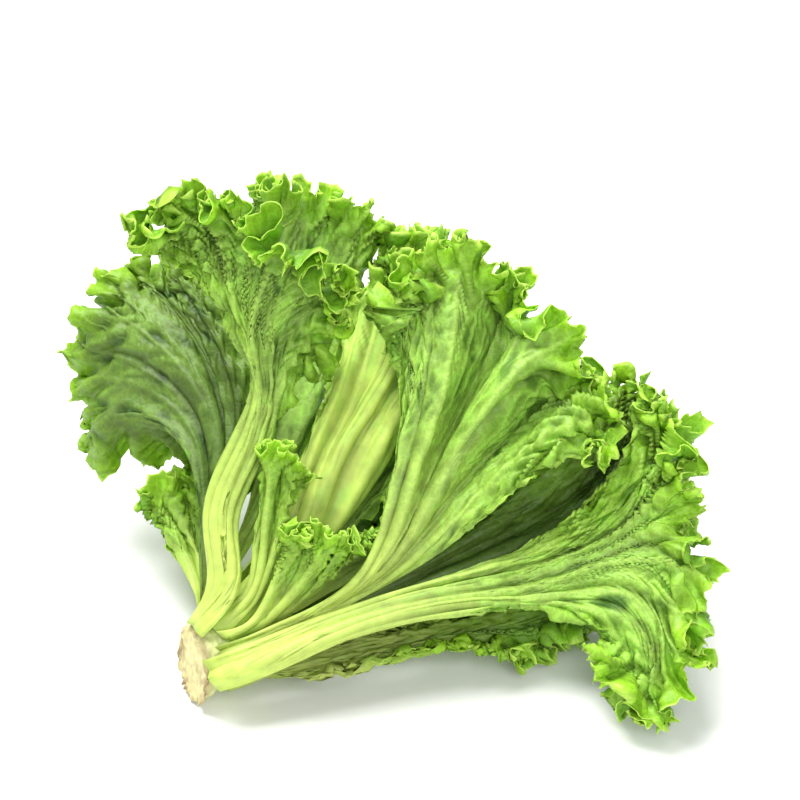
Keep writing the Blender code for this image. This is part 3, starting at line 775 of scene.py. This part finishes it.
def pockets(x, y, size, seed):
    """How far each place is from the border of its random cell, and a random value of that cell."""
    random = np.random.default_rng(seed).uniform(0, 1, (3, TABLE_SIDE, TABLE_SIDE))
    i, j = np.floor(x / size).astype(int), np.floor(y / size).astype(int)
    first = np.full(x.shape, np.inf)
    second = first.copy()
    value = np.zeros(x.shape)
    for di in (-1, 0, 1):
        for dj in (-1, 0, 1):
            right, up, own = random[:, (i + di) % TABLE_SIDE, (j + dj) % TABLE_SIDE]
            apart = np.hypot(i + di + right - x / size, j + dj + up - y / size)
            value = np.where(apart < first, own, value)
            second = np.minimum(second, np.maximum(apart, first))
            first = np.minimum(first, apart)
    return (second - first) * size / 2, value


def mixed(low, high, share):
    """The colour at a share of the way from low to high."""
    return low + (high - low) * np.asarray(share)[..., None]


class FineLeaf:
    """A leaf with its frill, teeth, veins and creases: the points and colours of its two faces.

    Its grids have a row for each of shares, from foot to edge, and a column for each of across.
    """

    def __init__(self, blade, look, seed):
        self.look, self.seed = look, seed
        rows = fine_rows(look.rows)
        self.shares = rows[:, None]
        self.across = np.linspace(-1, 1, COLUMN_STEP * look.columns + 1)
        middle = smooth_middle(blade, self.across, rows)
        self.measure(middle)
        surface = self.toothed(self.frilled(middle))
        self.thicken(surface, rib_depth(blade.leaf, self.across, rows))
        self.colour()
        halvings = np.searchsorted(CLOSER_FROM, rows, side="right")
        self.steps = [COLUMN_STEP // 2 ** int(count) for count in halvings]

    def measure(self, middle):
        """How far each point is up the leaf and from its margin, and how strong its frill is."""
        look = self.look
        self.places = np.array([arc(row) for row in middle])
        self.width = np.ptp(self.places, axis=1)[:, None]
        self.narrow = self.width / self.width[-1]
        self.along = run(middle)
        self.from_edge = self.along[-1] - self.along
        from_side = self.width / 2 - np.abs(self.places)
        near_edge, near_side = (np.maximum(away, 0.1) ** -3 for away in (self.from_edge, from_side))
        self.to_margin = (near_edge + near_side) ** (-1 / 3)
        self.sideways = self.from_edge**2 / (self.from_edge**2 + from_side**2 + 1)
        self.signed = self.sideways * np.sign(self.across)
        self.grown = smooth_step(0.25, 0.7, self.shares)
        self.sided = smooth_step(look.side_from, look.side_from + 0.45, self.shares)
        waved = 1 + self.sideways * (look.side * self.sided - 1)
        self.waved = waved * np.maximum(self.grown, 0.7 * self.sideways)

    def beside(self, course):
        """How far each point is to the right of a course, given as its place across in each row."""
        return (self.across - course) * self.width / 2

    def veins(self):
        """How strongly each point lies on a vein. Veins fork again and again and grow thinner."""
        shares = self.shares
        rng = np.random.default_rng(self.seed)
        main = np.linspace(-VEIN_SPAN, VEIN_SPAN, self.look.veins)
        paths = [(np.full(shares.shape, place), 0.0) for place in main]
        field = np.zeros((len(shares), len(self.across)))
        thick, start, half = VEIN_WIDTH, 0.0, VEIN_SPAN / self.look.veins
        for level in range(VEIN_LEVELS):
            children = []
            for path, fork in paths:
                fade = 1.0
                if level:
                    fade = smooth_step(fork - 0.02, fork + 0.2, shares)
                    fade = fade * smooth_step(0.16 * level, 0.2 + 0.26 * level, self.narrow)
                vein = bell(self.beside(path), thick * (1 - 0.55 * shares))
                field = np.maximum(field, vein * fade * (1 - 0.2 * level))
                apart = max(0.14, start + 0.22 + rng.uniform(-0.1, 0.1))
                away = smooth_step(apart, apart + 0.35, shares)
                for side in (-1, 1):
                    children.append((path + side * half * rng.uniform(0.5, 1.6) * away, apart))
            paths = children
            start += 0.2
            thick *= VEIN_NARROWS
            half *= VEIN_NARROWS
        return field

    def relief(self):
        """How far the face stands out for its swells, veins, pockets, pucker and creases."""
        look, seed, shares = self.look, self.seed, self.shares
        places, along = self.places, self.along
        field = self.field = self.veins()
        self.soft = blotches(places, along, 19, seed + 1)
        self.soft += 0.6 * blotches(places, along, 9, seed + 2)
        x = places + 4 * blotches(places, along, 12, seed + 12)
        y = along * 0.65 + 4 * blotches(along, places, 12, seed + 13)
        border, depth = pockets(x, y, POCKET_SIZE, seed + 14)
        self.net = bell(border, 0.8)
        self.sunk = (0.35 + 0.9 * depth) * (1 - bell(border, 2.2)) * (1 - field)
        self.pucker = blotches(places, along * 0.7, 6.5, seed + 3)
        self.pucker += 0.25 * blotches(places, along * 0.5, 5, seed + 10)

        green = smooth_step(look.pale - 0.35, look.pale + 0.15, shares)
        green = green * smooth_step(0.2, 0.65, self.narrow)
        ribbed = (field - 0.3) * smooth_step(0.04, 0.2, shares) * (1 - 0.65 * shares)
        height = 1.3 * self.grown * self.soft + look.ribs * ribbed
        height = height + look.pocket * green * (0.5 - self.sunk)
        height = height + (0.15 + 0.5 * green) * self.pucker * (1 - field)

        plump = smooth_step(0.2, 0.45, shares)
        # How far each point lies in a crease; the colour darkens there as painted shade
        self.deep = np.zeros(height.shape)
        for crease in look.creases:
            away = self.beside(crease + 0.06 * np.sin(6 * shares + 9 * crease))
            here = plump * (1 - self.grown * 0.4) * bell(away, CREASE_WIDTH, 1.3)
            self.deep = np.maximum(self.deep, here)
            height = height - CREASE_DEPTH * here
            height = height + 2.0 * plump * bell(away, 11)
        return height

    def margin(self, edge, beyond):
        """How far along the margin points are: up one side, along the edge and down the other."""
        return (1 - self.sideways) * edge + self.signed * beyond

    def turned(self, on_edge, on_side):
        """Directions that turn from one on the edge to another on the leaf's sides."""
        return unit((1 - self.sideways)[..., None] * on_edge + self.signed[..., None] * on_side)

    def curled(self, surface, rise, size, phase, lean):
        """A surface raised out of another, with curls of a size that lean over along the margin."""
        surface = surface + (rise + size * np.sin(phase))[..., None] * directions(surface)[0]
        side, forward = directions(surface)[1:]
        return surface - (lean * size * np.sin(2 * phase))[..., None] * self.turned(side, -forward)

    def frilled(self, middle):
        """The surface with its relief, and with large and then small curls along its margin."""
        look, seed = self.look, self.seed
        margin = self.margin(self.places[-1], self.width[-1] / 2 + self.from_edge)
        phase = 2 * np.pi * margin / look.fold + 2.2 * blotches(margin, 0, 34, seed + 4)
        fold = look.frill * (0.9 + 0.5 * blotches(margin, 0, 25, seed + 5)) * self.waved
        fold = fold * bell(self.to_margin, 0.85 * look.fold, 1.5)
        surface = self.curled(middle, self.relief(), fold, phase, 0.36)

        phase = 2 * np.pi * margin / (0.42 * look.fold) + 2.4 * blotches(margin, 0, 17, seed + 6)
        curl = look.curl * (0.8 + 0.6 * blotches(margin, 0, 11, seed + 7)) * self.waved
        curl = curl * bell(self.to_margin, 7.0, 1.5)
        return self.curled(surface, 0, curl, phase, 0.3)

    def toothed(self, surface):
        """The surface with large and small teeth along its margin."""
        side, forward = directions(surface)[1:]
        rim = arc(surface[-1])
        margin = self.margin(rim, rim[-1] + 1.3 * self.from_edge)
        notch = np.pi * margin / TOOTH_LENGTH + 2.0 * blotches(margin, 0, 19, self.seed + 8)
        small = np.pi * margin / SMALL_TOOTH_LENGTH + 1.5 * blotches(margin, 0, 7, self.seed + 11)
        teeth = (0.7 - np.abs(np.sin(notch))) + 0.22 * (0.5 - np.abs(np.sin(small)))
        size = self.look.point * (0.9 + 0.7 * blotches(margin, 0, 12, self.seed + 9))
        teeth = size * teeth * np.exp(-self.to_margin / 3.0)
        teeth = teeth * ((1 - self.sideways) * self.grown + 0.8 * self.sideways * self.sided)
        return surface + teeth[..., None] * self.turned(forward, side)

    def thicken(self, surface, stalk):
        """Sets the two faces on both sides of a surface. A leaf on the table keeps its thickness."""
        surface[..., 2] = np.maximum(surface[..., 2], BLADE_HALF + 0.1 + TABLE)
        out = directions(surface)[0]
        half = BLADE_HALF * (0.4 + 0.6 * np.clip(self.to_margin / 14, 0, 1))
        foot = smooth_step(-0.01, 0.06, self.shares)
        swell = self.look.swell * np.clip(1 - self.shares / 0.5, 0, 1) * bell(self.across, 0.8)
        self.outer = surface + (half + stalk * foot + swell * foot)[..., None] * out
        self.inner = surface - half[..., None] * out
        for face in (self.outer, self.inner):
            face[..., 2] = np.maximum(face[..., 2], TABLE)

    def colour(self):
        """Pale at the stalk and veins, green in the blade, bright at the frill, light at its rim.
        Painted shade darkens the sunk pockets and the creases, and painted light and shade follow
        the pucker.
        """
        look, shares, field, sunk = self.look, self.shares, self.field, self.sunk
        # Painted shade: the blade turns further to the dark blue-green in its sunk pockets, besides
        # each leaf's own setting and random blotches
        cool_and_pocket_shade = np.clip(look.shade + 0.3 * self.soft + 0.45 * (sunk - 0.4), 0, 1)
        blade = mixed(BLADE, COOL_BLADE_AND_PAINTED_SHADE, cool_and_pocket_shade)
        green = smooth_step(look.pale - 0.4, look.pale + 0.3, shares + 0.05 * self.soft)
        veins = field * (1 - 0.5 * smooth_step(look.pale - 0.2, 1.0, shares))
        light = 0.06 * (1 - 0.8 * look.shade)
        stalk = STALK * (0.88 + 0.16 * field)[..., None]
        # Painted shade: more of the dark blade green in the sunk pockets
        outer = mixed(stalk, blade, green * (0.8 + 0.35 * (sunk - 0.5)))
        vein = mixed(STALK, 1.4 * blade + light, green * (0.55 + 0.35 * look.shade))
        outer = mixed(outer, vein, 0.8 * veins)
        outer = mixed(outer, 1.6 * blade + light, 0.4 * self.net * (1 - field))
        # Painted shade darker in the sunk pockets, and painted light and shade: lighter on the
        # pucker's rises, darker in its dips
        shaded = (0.2 * self.pucker - 0.36 * (sunk - 0.35)) * (1 - field) * green
        outer = outer * (1 + shaded)[..., None]
        # Painted shade: darker along the deep creases, less so on the veins. The brightness factor
        # here is painted shade on some leaves and painted light on one
        outer = look.tone * outer * (1 - 0.6 * self.deep * (1 - 0.6 * field))[..., None]
        frilled = smooth_step(0.35, 0.75, shares) * self.waved
        bright = FRILL * (1 + 0.25 * self.soft[..., None])
        outer = mixed(outer, bright, 0.75 * frilled * bell(self.to_margin, 15))
        inner = mixed(outer * 0.9, UNDER_FRILL, 0.5 * green)
        rim = 0.85 * frilled * bell(self.to_margin, 0.8)
        faces = (mixed(face, RIM, rim) for face in (outer, inner))
        self.tints = [np.concatenate([face, green[..., None]], axis=2) for face in faces]


def add_fine_leaf(shape, name, material):
    """A closed mesh from the two faces of a leaf, with a wall round their edge."""
    columns = shape.outer.shape[1]
    corners = np.array(strip_faces(shape.steps, columns - 1))
    used, flat = np.unique(corners @ (columns, 1), return_inverse=True)
    flat = flat.reshape(-1, 3)
    count = len(used)
    ends = edges_of(flat)
    keys = ends[:, 0] * count + ends[:, 1]
    a, b = ends[~np.isin(keys, ends[:, 1] * count + ends[:, 0])].T
    wall = ((b, a, a + count), (b, a + count, b + count))
    faces = np.concatenate([flat, flat[:, ::-1] + count, *(np.stack(half, axis=1) for half in wall)])
    points = np.concatenate([face.reshape(-1, 3)[used] for face in (shape.outer, shape.inner)])
    tints = np.concatenate([tint.reshape(-1, 4)[used] for tint in shape.tints])
    return add_mesh(name, points, faces, np.clip(tints, 0, 0.97), material)


def add_object(name, data):
    """A new object in the scene."""
    item = bpy.data.objects.new(name, data)
    bpy.context.scene.collection.objects.link(item)
    return item


def add_mesh(name, points, faces, tints, material):
    """A smooth mesh from points in millimetres measured from the cut face, with a colour at each.

    The colour's fourth value says how much of the blade's net of veins shows there.
    """
    mesh = bpy.data.meshes.new(name)
    mesh.vertices.add(len(points))
    mesh.vertices.foreach_set("co", ((points + BUTT_AT) * MM).ravel())
    mesh.loops.add(faces.size)
    mesh.loops.foreach_set("vertex_index", faces.ravel())
    mesh.polygons.add(len(faces))
    mesh.polygons.foreach_set("loop_start", np.arange(len(faces)) * faces.shape[1])
    mesh.update(calc_edges=True)
    mesh.shade_smooth()
    tint = mesh.color_attributes.new("tint", "FLOAT_COLOR", "POINT")
    tint.data.foreach_set("color", tints.ravel())
    mesh.materials.append(material)
    return add_object(name, mesh)


def add_fine_stem(material):
    """The stem's butt with its lumpy side and its browned, uneven cut."""
    sides, cut_rings, side_rings = 160, 30, 60
    wave = np.linspace(0, 2 * np.pi, sides, endpoint=False)
    slope = CUT_RISE * np.cos(wave) + CUT_LEAN * np.sin(wave)
    down = np.linspace(0, STEM_PROFILE[-1][0], side_rings)
    heights = np.concatenate([np.zeros(cut_rings), down])
    shares = np.concatenate([np.linspace(0.02, 1, cut_rings), np.ones(side_rings)])
    points, tints = [], []
    for height, share in zip(heights, shares):
        near_cut = np.exp(-height / 2.5)
        radius = stem_radius(height) * share
        slant = radius * slope * max(0, 1 - height / SLANT_REACH)
        lumps = 0.03 * np.sin(3 * wave) + 0.05 * blotches(8 * wave, height, 1.6, 11)
        if share == 1:
            radius = np.minimum(radius, stem_radius(height + slant))
        radius = radius * (1 + lumps * share)
        x, y = radius * np.cos(wave), radius * np.sin(wave)
        rough = blotches(x + 90, y + 90, 2.2, 12) + blotches(x + 90, y + 90, 5.5, 13)
        jagged = np.abs(blotches(9 * wave, height, 1.3, 16)) * share**6
        rise = height + slant + near_cut * (0.6 * rough - 2.2 * jagged)
        points.append(rise[:, None] * AXIS + x[:, None] * UP + y[:, None] * SIDE)
        brown = blotches(x + 50, y + 50, 5.0, 14) + 0.7 * blotches(x + 50, y + 50, 1.6, 15)
        stain = np.clip(0.5 * brown - 0.05 + 0.75 * share**7, 0, 1) * near_cut
        side = mixed(BUTT_PALE, BUTT_GREEN, min(height / 16, 1))
        tints.append(mixed(mixed(side, CUT_TAN, 0.7 * near_cut), CUT_BROWN, 0.85 * stain))
    index = np.arange(len(heights) * sides).reshape(len(heights), sides)
    after = np.roll(index, -1, axis=1)
    faces = np.stack([index[:-1], after[:-1], after[1:], index[1:]], axis=-1).reshape(-1, 4)
    tints = np.concatenate(tints)
    tints = np.concatenate([tints, np.zeros((len(tints), 1))], axis=1)
    return add_mesh("stem_butt_skin", np.concatenate(points), faces, tints, material)


def add_node(tree, kind, operation=None, **values):
    """A new shader node. The names of its sockets are given with _ for spaces."""
    node = tree.nodes.new("ShaderNode" + kind)
    if operation:
        node.operation = operation
    for name, value in values.items():
        node.inputs[name.replace("_", " ")].default_value = value
    return node


def plant_material(name, grain, roughness, through):
    """A shader with the mesh's own colour, fine blotches, a net of small veins and light through."""
    material = bpy.data.materials.new(name)
    material.use_nodes = True
    tree = material.node_tree
    shader, output = tree.nodes["Principled BSDF"], tree.nodes["Material Output"]
    shader.inputs["Roughness"].default_value = roughness
    shader.inputs["Specular IOR Level"].default_value = 0.4
    tint = add_node(tree, "Attribute")
    tint.attribute_name = "tint"
    place = add_node(tree, "TexCoord")
    blotch = add_node(tree, "TexNoise", Scale=grain, Detail=5.0)
    spread = add_node(tree, "MapRange", From_Min=0.3, From_Max=0.7, To_Min=0.86, To_Max=1.14)
    # The blotches move the net's cells by a few millimetres, so that its lines aren't straight
    moved = add_node(tree, "VectorMath", "MULTIPLY_ADD")
    moved.inputs[1].default_value = (0.008, 0.008, 0.008)
    net = add_node(tree, "TexVoronoi", Scale=230.0)
    net.feature = "DISTANCE_TO_EDGE"
    line = add_node(tree, "MapRange", From_Min=0.0, From_Max=0.13, To_Min=0.2, To_Max=-0.03)
    lined = add_node(tree, "Math", "MULTIPLY_ADD")
    colour = add_node(tree, "VectorMath", "SCALE")
    puffed = add_node(tree, "Math", "MULTIPLY_ADD")
    bump = add_node(tree, "Bump", Strength=0.6, Distance=0.0008)
    links = [
        (place, "Object", blotch, "Vector"),
        (blotch, "Fac", spread, "Value"),
        (blotch, "Color", moved, 0),
        (place, "Object", moved, 2),
        (moved, "Vector", net, "Vector"),
        (net, "Distance", line, "Value"),
        (line, "Result", lined, 0),
        (tint, "Alpha", lined, 1),
        (spread, "Result", lined, 2),
        (tint, "Color", colour, 0),
        (lined, "Value", colour, "Scale"),
        (colour, "Vector", shader, "Base Color"),
        (net, "Distance", puffed, 0),
        (tint, "Alpha", puffed, 1),
        (blotch, "Fac", puffed, 2),
        (puffed, "Value", bump, "Height"),
        (bump, "Normal", shader, "Normal"),
    ]
    if through:
        warm = add_node(tree, "VectorMath", "MULTIPLY")
        warm.inputs[1].default_value = (1.05, 1.2, 0.6)
        glow = add_node(tree, "BsdfTranslucent")
        blend = add_node(tree, "MixShader", Fac=through)
        links += [
            (colour, "Vector", warm, 0),
            (warm, "Vector", glow, "Color"),
            (shader, "BSDF", blend, 1),
            (glow, "BSDF", blend, 2),
            (blend, "Shader", output, "Surface"),
        ]
    for source, value, target, entry in links:
        tree.links.new(source.outputs[value], target.inputs[entry])
    return material


def add_floor():
    """A wide, pale table top, half a millimetre below the head."""
    mesh = bpy.data.meshes.new("floor")
    reach, below = 6.0, 0.0005
    corners = [(x * reach, y * reach, 0) for x, y in ((-1, -1), (1, -1), (1, 1), (-1, 1))]
    mesh.from_pydata(corners, [], [(0, 1, 2, 3)])
    material = bpy.data.materials.new("floor_white")
    material.use_nodes = True
    shader = material.node_tree.nodes["Principled BSDF"]
    shader.inputs["Base Color"].default_value = (0.93, 0.935, 0.92, 1)
    shader.inputs["Roughness"].default_value = 0.6
    mesh.materials.append(material)
    floor = add_object("floor", mesh)
    floor.location.z = -below


def add_light(name, place, size, power):
    """A round soft light that points at the middle of the head."""
    light = bpy.data.lights.new(name, "AREA")
    light.shape = "DISK"
    light.size = size
    light.energy = power
    lamp = add_object(name, light)
    lamp.location = place
    way = Vector(HEAD_MIDDLE) - Vector(place)
    lamp.rotation_euler = way.to_track_quat("-Z", "Y").to_euler()


def add_camera():
    """The photograph's camera, above the front of the head."""
    rise = radians(VIEW_RISE)
    up = Vector((0, sin(rise), cos(rise)))
    away = Vector((0, cos(rise), -sin(rise)))
    right = (VIEW_MIDDLE[0] - VIEW_BUTT[0]) * VIEW_STEP
    high = (VIEW_BUTT[1] - VIEW_MIDDLE[1]) * VIEW_STEP
    aim = Vector(BUTT_AT * MM) + Vector((right * MM, 0, 0)) + up * high * MM
    lens = bpy.data.cameras.new("camera")
    lens.lens = lens.sensor_width * VIEW_DISTANCE / (VIEW_STEPS * VIEW_STEP)
    camera = add_object("camera", lens)
    camera.location = aim - away * VIEW_DISTANCE * MM
    camera.rotation_euler = away.to_track_quat("-Z", "Y").to_euler()
    bpy.context.scene.camera = camera


def add_studio():
    """The two lights, the pale surroundings and a plain view of the colours."""
    add_light("key", (-0.35, 0.4, 1.6), size=1.4, power=53)
    add_light("fill", (0.3, -1.3, 1.1), size=1.2, power=15)
    world = bpy.data.worlds.new("studio")
    world.use_nodes = True
    background = world.node_tree.nodes["Background"]
    background.inputs["Color"].default_value = (1, 1, 1, 1)
    background.inputs["Strength"].default_value = 0.42
    bpy.context.scene.world = world
    bpy.context.scene.view_settings.view_transform = "Standard"


def dress():
    """Adds every piece of the head in place of its solid."""
    leaf_skin = plant_material("lettuce_leaf", grain=130, roughness=0.45, through=0.27)
    stem_skin = plant_material("lettuce_stem", grain=220, roughness=0.6, through=0)
    for order, blade in enumerate(lay_leaves()):
        name = blade.leaf.name
        shape = FineLeaf(blade, LOOKS.get(name, Look()), FIRST_SEED + SEEDS_EACH * order)
        piece = add_fine_leaf(shape, name + "_skin", leaf_skin)
        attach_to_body(piece, "root")
        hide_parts(name)
    stem = add_fine_stem(stem_skin)
    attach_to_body(stem, "root")
    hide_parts("stem_butt")


dress()
add_floor()
add_camera()
add_studio()
